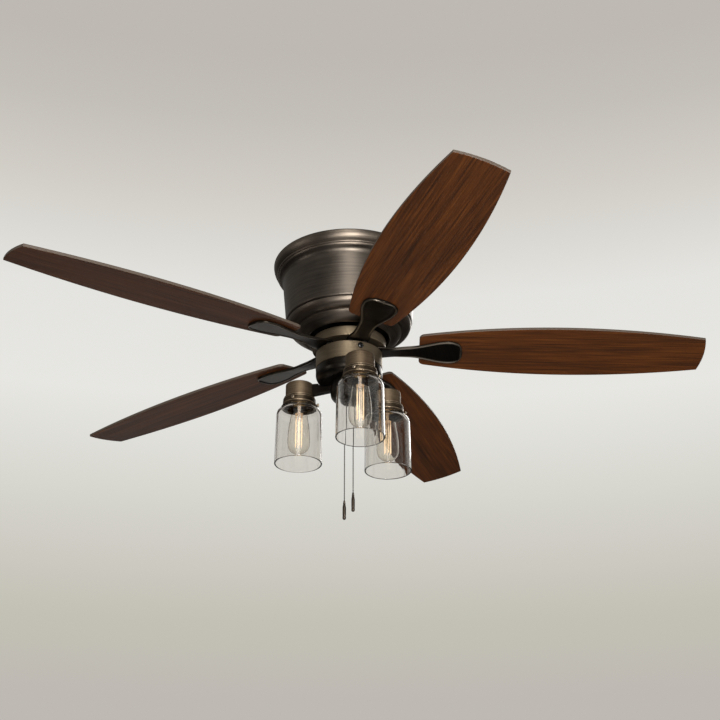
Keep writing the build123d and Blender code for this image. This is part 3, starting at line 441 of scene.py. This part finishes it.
fan_middle = (0.0, 0.0, -0.2)
softbox("low key", (0.2, -2.6, -0.7), fan_middle, 0.7, 1.2, 60.0)
softbox("high key", (0.0, -2.0, 1.0), fan_middle, 0.7, 1.0, 12.0)
softbox("front wide", (0.0, -3.2, -1.4), fan_middle, 2.6, 0.8, 30.0)
softbox("left fill", (-2.7, -0.9, -0.5), fan_middle, 0.5, 1.4, 5.0)
softbox("right fill", (2.8, -0.9, -0.7), fan_middle, 0.7, 1.4, 16.0)
softbox("under fill", (0.2, -0.6, -2.2), fan_middle, 1.6, 1.6, 8.0)
softbox("back sheen", (-0.6, 2.8, -0.65), fan_middle, 2.2, 0.5, 3.6)
softbox("rear fill", (1.2, 2.6, 1.3), fan_middle, 1.4, 1.0, 22.0)

# Housing: spun steel trim rim, drum and stepped pan in a dark oil-rubbed bronze that is
# brushed round the axis; the rim and the lower housing are a lighter copy, a painted sheen. The
# flywheel and switch housing are warmer, the castings darker, the rotor covers dark as painted shade.
housing_finish = bronze("housing bronze", (0.066, 0.057, 0.049), (0.19, 0.162, 0.134), 0.38)
painted_sheen_rim_finish = bronze("rim bronze painted lighter", (0.095, 0.080, 0.066), (0.27, 0.226, 0.184), 0.40)
warm_finish = bronze("warm bronze", (0.14, 0.109, 0.072), (0.29, 0.233, 0.160), 0.50)
dark_finish = bronze("dark bronze", (0.016, 0.014, 0.012), (0.070, 0.060, 0.050), 0.34)


def dress(node, finish):
    """Gives a CAD node its finish."""
    data = nodes[node].data
    data.materials.clear()
    data.materials.append(finish)


dress("motor_housing", housing_finish)
# The trim rim and lower housing take a lighter copy of the housing bronze: a painted sheen.
for node in ("trim_rim", "lower_housing"):
    dress(node, painted_sheen_rim_finish)
for node in ("flywheel", "switch_housing"):
    dress(node, warm_finish)
# The rotor covers take the dark bronze as painted shade, darkening the gap above the flywheel; the pan, hub
# and bushings are dark castings.
for node in ("fitter_pan", "light_hub", "chain_bushings", "rotor_lower_cover", "rotor_upper_cover"):
    dress(node, dark_finish)


# Side screws of the switch housing: three blacked steel screws with domed heads and a cross
# recess, a third of a turn apart, through the wall into the mount plate.
head_radius = 0.0056
head_dome = 0.0024
recess_half_width = 0.0006
recess_reach = 0.0026
recess_depth = 0.0009
side_shank = 0.0024


def domed_head(origin, direction):
    """A dome h (1 - r^2)^(1/2) over the head's radius, sunk where either arm of the cross lies."""
    radius = np.concatenate([np.linspace(0, 0.98, 26), [1.0, 1.0]])[:, None]
    angle = np.linspace(0, 2 * math.pi, 64, endpoint=False)[None, :]
    x = head_radius * radius * np.cos(angle)
    y = head_radius * radius * np.sin(angle)
    dome = 0.0004 + head_dome * np.sqrt(np.clip(1 - radius**2, 0, 1)) + 0 * angle
    upright_arm = (1 - (x / recess_half_width) ** 8).clip(0) * (1 - (y / recess_reach) ** 8).clip(0)
    level_arm = (1 - (y / recess_half_width) ** 8).clip(0) * (1 - (x / recess_reach) ** 8).clip(0)
    z = dome - recess_depth * np.maximum(upright_arm, level_arm)
    z[-1] = 0.0
    shank = turned([(0, -0.0066), (side_shank, -0.0066), (side_shank, 0.0), (0, 0.0)], 24)
    foot = turned([(head_radius, 0.0), (0.0, 0.0)], 64)
    return [moved(part, origin, direction) for part in (np.stack([x, y, z], 2), foot, shank)]


side_screw_first = math.radians(-70)
side_screw_level = -0.1975
side_screw_seat = 0.0623
head_grids = []
for third in range(3):
    azimuth = side_screw_first + third * 2 * math.pi / 3
    out = Vector((math.cos(azimuth), math.sin(azimuth), 0))
    head_grids += domed_head(out * side_screw_seat + Vector((0, 0, side_screw_level)), out)
head_finish = bronze("blacked screw", (0.020, 0.020, 0.021), (0.060, 0.060, 0.062), 0.26)
heads = make_piece("domed_side_screws", head_finish, head_grids)
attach(heads, "root")
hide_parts("switch_housing_screws")


# Shade fitters: stepped rings under the socket cups, with fine rolled beads, a flared skirt
# round the glass shoulder and three knurled thumb screws each, a third of a turn apart.
fitter_beads = (-0.0012, -0.0050, -0.0147)
fitter_bead_half = 0.0007
fitter_tones = ((0.050, 0.037, 0.025), (0.15, 0.114, 0.076))
# Tone of the bright beads: a painted highlight over rubbed bronze.
fitter_rubbed_highlight_tone = (0.46, 0.36, 0.25)


def add_fitter(index, centre):
    """One fitter turned about its lamp's axis; heights are from its top, radii in metres. Its three
    beads are painted bright, a painted highlight over rubbed bronze: e^(-(z - bead)^2 / w^2)."""
    low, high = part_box(f"shade_fitter_{index}")
    skirt = (high[0] - low[0]) / 2
    drop = high[2] - low[2]
    outline = [
        (0.0155, -0.0016),
        (0.0155, 0.0),
        (0.0272, 0.0),
        (0.0287, -0.0006),
        (0.0288, -0.0019),
        (0.0276, -0.0027),
        (0.0276, -0.0034),
        (0.0302, -0.0042),
        (0.0303, -0.0058),
        (0.0289, -0.0066),
        (0.0289, -0.0078),
        (0.0306, -0.0084),
        (0.0306, -0.0136),
        (0.0312, -0.0141),
        (0.0312, -0.0152),
        (0.0303, -0.0158),
        (0.0306, -0.0172),
        (0.0320, -0.0192),
        (skirt - 0.0004, -drop + 0.0012),
        (skirt, -drop + 0.0004),
        (skirt - 0.0008, -drop),
        (0.0322, -drop),
        (0.0296, -0.0160),
        (0.0291, -0.0150),
        (0.0291, -0.0088),
        (0.0264, -0.0020),
        (0.0155, -0.0016),
    ]
    ring = turned(eased(outline, 0.0005, 4), 96)
    outer = np.hypot(ring[..., 0], ring[..., 1]) > 0.0280
    from_bead = [(ring[..., 2] - bead) / fitter_bead_half for bead in fitter_beads]
    # The beads' painted highlight, strongest on each bead's crest.
    worn = outer * sum(np.exp(-(distance**2)) for distance in from_bead)
    finish = bronze(f"fitter bronze {index}", *fitter_tones, 0.44, centre, fitter_rubbed_highlight_tone)
    fitter = make_piece(f"beaded_fitter_{index}", finish, [moved(ring, (*centre, high[2]))], worn=worn)
    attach(fitter, "root")
    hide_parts(f"shade_fitter_{index}")


def thumb_screw(tip, direction):
    """One knurled thumb screw along its direction: shank, neck and a rippled, crowned head."""
    shank = turned([(0, 0), (0.0017, 0), (0.0017, 0.0049), (0, 0.0049)], 20)
    under, crown, knurl = 0.0045, 0.0080, 0.0032
    side_foot = [(0.0, under), (0.0022, under), (knurl, under + 0.0006)]
    side_top = [(knurl, crown - 0.0007), (0.0024, crown), (0.0, crown)]
    head = eased(side_foot + side_top, 0.0006)
    return [moved(shank, tip, direction), moved(turned(head, 60, 15, 0.05), tip, direction)]


thumb_level = -0.275
fitter_wall = 0.0289
front_arm_azimuth = -78
screw_grids = []
for index in (1, 2, 3):
    low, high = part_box(f"shade_fitter_{index}")
    middle = Vector(((low[0] + high[0]) / 2, (low[1] + high[1]) / 2, thumb_level))
    arm_azimuth = math.radians(front_arm_azimuth + 120 * (index - 1))
    for third in range(3):
        azimuth = arm_azimuth + math.radians(90 + 120 * third)
        out = Vector((math.cos(azimuth), math.sin(azimuth), 0))
        screw_grids += thumb_screw(middle + out * fitter_wall, out)
thumb_finish = bronze("thumb screw bronze", (0.36, 0.29, 0.21), (0.62, 0.52, 0.40), 0.30)
thumbs = make_piece("knurled_thumb_screws", thumb_finish, screw_grids)
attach(thumbs, "root")
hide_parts("thumb_screws")


# Arms and socket cups: three dark cast arms from the hub, each with a cup spun from brass
# and brushed round its own lamp's axis. Each cup carries its shade fitter.
for index in (1, 2, 3):
    dress(f"lamp_arm_{index}", dark_finish)
    low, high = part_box(f"socket_cup_{index}")
    centre = ((low[0] + high[0]) / 2, (low[1] + high[1]) / 2)
    cup_finish = bronze(f"cup bronze {index}", (0.115, 0.083, 0.053), (0.27, 0.204, 0.136), 0.56, centre)
    dress(f"socket_cup_{index}", cup_finish)
    add_fitter(index, centre)

# Blades: plywood faced with walnut-stained veneer, the grain along each blade, with a dull
# sealed edge painted lighter, partly a painted highlight. Each is pitched about its own length and droops a
# little towards its tip.
blade_level = -0.1746
blade_pitch = math.radians(11.4)
blade_droop = math.radians(1.5)
rotor_phase = math.radians(-1.0)


def walnut(index):
    """Veneer for one blade, in that blade's own drooped and pitched frame."""
    azimuth = rotor_phase + index * 2 * math.pi / 5
    finish = Finish(f"walnut {index + 1}", {"Specular IOR Level": 0.42})
    turn = (-blade_pitch, blade_droop, azimuth)
    here = finish.place((0, 0, blade_level), turn)
    along, across, through = finish.split(here)
    seed = index * 5.3
    drift = finish.noise(finish.join(along * 3.0, across * 9.0, 0.0), 1.0, 2.0, seed=seed) - 0.5
    bent = finish.join(along * 2.4, (across + drift * 0.03) * 42.0, 0.0)
    figure = finish.noise(bent, 1.0, 4.0, seed=seed + 1)
    fibres = finish.join(along * 14.0, across * 620.0, through * 620.0)
    grain = finish.noise(fibres, 1.0, 3.0, 0.6, seed=seed + 2)
    pores = finish.noise(finish.join(along * 70.0, across * 1600.0, 0.0), 1.0, 1.0, seed=seed + 3)
    streak = finish.noise(finish.join(along * 7.0, across * 300.0, 0.0), 1.0, 3.0, 0.65, seed=seed + 4)
    tone = figure * 0.40 + grain * 0.35 + streak * 0.95 - 0.35
    stops = [
        (0.28, (0.034, 0.0100, 0.0016)),
        (0.44, (0.076, 0.0220, 0.0034)),
        (0.58, (0.128, 0.0370, 0.0058)),
        (0.76, (0.215, 0.0660, 0.0105)),
    ]
    veneer = finish.ramp(tone, stops)
    veneer = finish.blend((pores > 0.66) * 0.5, veneer, (0.022, 0.007, 0.003, 1.0))
    upright = Euler(turn).to_matrix() @ Vector((0, 0, 1))
    facing = finish.node("ShaderNodeTexCoord", {}, {})[1]
    dot = finish.node("ShaderNodeVectorMath", {"operation": "DOT_PRODUCT"}, {0: facing, 1: upright})[1]
    edge = dot.maths("ABSOLUTE", dot) < 0.75
    # Side faces are painted lighter: the sealed edge's tone and a painted highlight along the rounded edge.
    finish.vary("Base Color", finish.blend(edge, veneer, (0.09, 0.068, 0.052, 1.0)))
    finish.vary("Roughness", 0.57 - 0.12 * (figure - 0.5) + 0.10 * (grain - 0.5))
    finish.emboss(streak * 0.5 + grain * 0.3 + (pores < 0.66) * 0.2, 0.00012, 0.6)
    return finish.material


for index in range(5):
    dress(f"blade_{index + 1}", walnut(index))

# Blade irons: five cast arms under the blades. Each is level where it is screwed under the
# flywheel, twists to the blade's pitch along its neck and ends in a dished paddle with a
# raised rim round it.
iron_root, iron_tip = 0.040, 0.211
iron_reaches = np.array([0.040, 0.054, 0.092, 0.112, 0.184, 0.211])
iron_halves = np.array([0.0214, 0.0214, 0.0158, 0.0158, 0.0320, 0.0320])


def iron_half(reach):
    """Half the iron's width: it eases by s = 3t^2 - 2t^3 from each reach to the next, and both ends
    are rounded by the power curve (1 - u^n)^(1/n)."""
    step = np.clip(np.searchsorted(iron_reaches, reach) - 1, 0, len(iron_reaches) - 2)
    t = (reach - iron_reaches[step]) / (iron_reaches[step + 1] - iron_reaches[step])
    wide = iron_halves[step] + (iron_halves[step + 1] - iron_halves[step]) * (3 * t**2 - 2 * t**3)
    root = np.clip((iron_reaches[1] - reach) / (iron_reaches[1] - iron_root), 0, 1)
    tip = np.clip((reach - 0.185) / (iron_tip - 0.185), 0, 1)
    return wide * (1 - root**2) ** 0.5 * (1 - tip**2.5) ** 0.4


def iron_station(reach):
    """Twist and height of the iron's middle at a reach from the axis: both ease from the level
    root, s = 3t^2 - 2t^3, to the pitched and drooped plane under the blade."""
    t = np.clip((reach - 0.070) / (0.128 - 0.070), 0, 1)
    eased_in = 3 * t**2 - 2 * t**3
    paddle = blade_level - reach * math.tan(blade_droop) - 0.00525
    root = -0.1835
    return -blade_pitch * eased_in, root + (paddle - root) * eased_in


def make_iron(index):
    """One iron as closed sections across its length: a flat top, and an underside with a raised
    bead round it, painted lighter as a painted highlight over rubbed bronze, and a shallow dish inside the
    bead."""
    along = iron_root + (1 - (1 - np.linspace(0, 1, 150)) ** 1.5) * (iron_tip - iron_root)
    thick = 0.0050
    angle = np.linspace(0, 2 * math.pi, 80, endpoint=False)
    across = np.sign(np.cos(angle)) * np.abs(np.cos(angle)) ** 0.55
    upright = np.sign(np.sin(angle)) * np.abs(np.sin(angle)) ** 0.42
    reach = along[:, None]
    half = iron_half(along)[:, None]
    v = across * half
    inside = np.minimum(half - np.abs(v), iron_tip - reach)
    bead = np.sin(math.pi * np.clip(inside / 0.0055, 0, 1)) ** 2 * np.clip((reach - 0.072) / 0.02, 0, 1)
    dish = np.clip((inside - 0.0030) / 0.0045, 0, 1) * np.clip((reach - 0.110) / 0.03, 0, 1)
    below = upright < 0
    w = upright * thick / 2 * np.minimum(1, (half / 0.004) ** 0.5) + below * (0.0011 * dish - 0.0009 * bead)
    twist, level = iron_station(reach)
    x = np.broadcast_to(reach, v.shape)
    y = v * np.cos(twist) - w * np.sin(twist)
    z = v * np.sin(twist) + w * np.cos(twist) + level
    azimuth = rotor_phase + index * 2 * math.pi / 5
    c, s = math.cos(azimuth), math.sin(azimuth)
    grid = np.stack([x * c - y * s, x * s + y * c, z], 2)
    return make_piece(f"cast_iron_{index + 1}", iron_finish, [grid], worn=bead * below)


iron_tones = ((0.016, 0.014, 0.012), (0.066, 0.055, 0.044))
# The irons' raised beads get a painted highlight: a lighter rubbed tone marks them.
iron_finish = bronze("iron bronze", *iron_tones, 0.38, rubbed_highlight_tone=(0.34, 0.30, 0.25))
for index in range(5):
    iron = make_iron(index)
    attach(iron, "rotor")
    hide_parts(f"blade_iron_{index + 1}")

# Inside works and fasteners: plated steel, cast aluminium, laminations, copper windings,
# lead insulation, black switch plastic, brass bulb bases and porcelain sockets.
def plain(name, tone, dark_tone, scale, depth, metallic, roughness):
    """A finish of two close tones that drift as noise, with a faint grain of that depth."""
    finish = Finish(name, {"Metallic": metallic, "Roughness": roughness})
    drift = finish.noise(finish.place(), scale, 3.0)
    finish.vary("Base Color", finish.ramp(drift, [(0.3, dark_tone), (0.7, tone)]))
    finish.emboss(drift, depth, 0.4)
    return finish.material


works = {
    "zinc plate": ((0.30, 0.30, 0.29), (0.22, 0.22, 0.22), 60.0, 0.00005, 0.6, 0.60),
    "plated steel": ((0.50, 0.50, 0.48), (0.36, 0.36, 0.35), 60.0, 0.00005, 1.0, 0.36),
    "cast aluminium": ((0.55, 0.55, 0.56), (0.42, 0.42, 0.43), 220.0, 0.0001, 1.0, 0.50),
    "lamination steel": ((0.20, 0.21, 0.23), (0.13, 0.14, 0.15), 300.0, 0.00005, 1.0, 0.45),
    "copper wire": ((0.62, 0.24, 0.10), (0.40, 0.13, 0.05), 500.0, 0.0002, 1.0, 0.35),
    "lead cover": ((0.10, 0.10, 0.11), (0.06, 0.06, 0.07), 90.0, 0.00005, 0.0, 0.55),
    "switch plastic": ((0.030, 0.030, 0.031), (0.018, 0.018, 0.019), 400.0, 0.00004, 0.0, 0.50),
    "bulb brass": ((0.72, 0.50, 0.22), (0.50, 0.33, 0.13), 150.0, 0.00005, 1.0, 0.30),
    "porcelain": ((0.78, 0.76, 0.71), (0.70, 0.68, 0.63), 80.0, 0.00005, 0.0, 0.30),
}
made_of = {
    "zinc plate": ["ceiling_plate"],
    "plated steel": [
        "main_shaft",
        "switch_mount_plate",
        "housing_screws",
        "iron_screws",
        "blade_screws",
        "upper_bearing",
        "lower_bearing",
    ],
    "cast aluminium": ["hanger_collar"],
    "lamination steel": ["stator_core", "rotor_cage"],
    "copper wire": ["stator_windings"],
    "lead cover": ["shaft_leads"],
    "switch plastic": ["capacitor", "reverse_switch", "reverse_slider", "fan_speed_switch", "light_switch"],
    "bulb brass": ["bulb_bases"],
    "porcelain": ["lamp_sockets"],
}
for name, members in made_of.items():
    finish = plain(name, *works[name])
    for node in members:
        dress(node, finish)

# Lamp glass: clear blown jars with faint upright streaks, clear bulbs with faint waves, and
# a cage of filaments that glows below its stem.
clear = {"Transmission Weight": 1.0, "IOR": 1.45, "Roughness": 0.0}
jar_finish = Finish("clear glass", {"Base Color": (0.86, 0.845, 0.825, 1), **clear})
jar_x, jar_y, jar_z = jar_finish.split(jar_finish.place())
jar_wave = jar_finish.noise(jar_finish.join(jar_x * 150.0, jar_y * 150.0, jar_z * 9.0), 1.0, 2.0)
jar_finish.emboss(jar_wave, 0.0004, 0.20)
for index in (1, 2, 3):
    dress(f"glass_shade_{index}", jar_finish.material)
bulb_finish = Finish("bulb glass", {"Base Color": (1.0, 0.98, 0.94, 1), **clear})
bulb_finish.emboss(bulb_finish.noise(bulb_finish.place(), 90.0, 1.0), 0.0001, 0.1)
dress("bulb_glass", bulb_finish.material)
filament_even = {"Base Color": (0.9, 0.6, 0.3, 1), "Emission Strength": 1.15}
filament_finish = Finish("glowing filament", filament_even)
cage_foot, cage_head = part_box("filaments")[0][2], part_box("filaments")[1][2]
up_cage = (filament_finish.split(filament_finish.place())[2] - cage_foot) / (cage_head - cage_foot)
hot = (1.0, 0.82, 0.58)
glow = [(0.0, hot), (0.58, hot), (0.68, (0.14, 0.11, 0.08))]
filament_finish.vary("Emission Color", filament_finish.ramp(up_cage, glow))
dress("filaments", filament_finish.material)
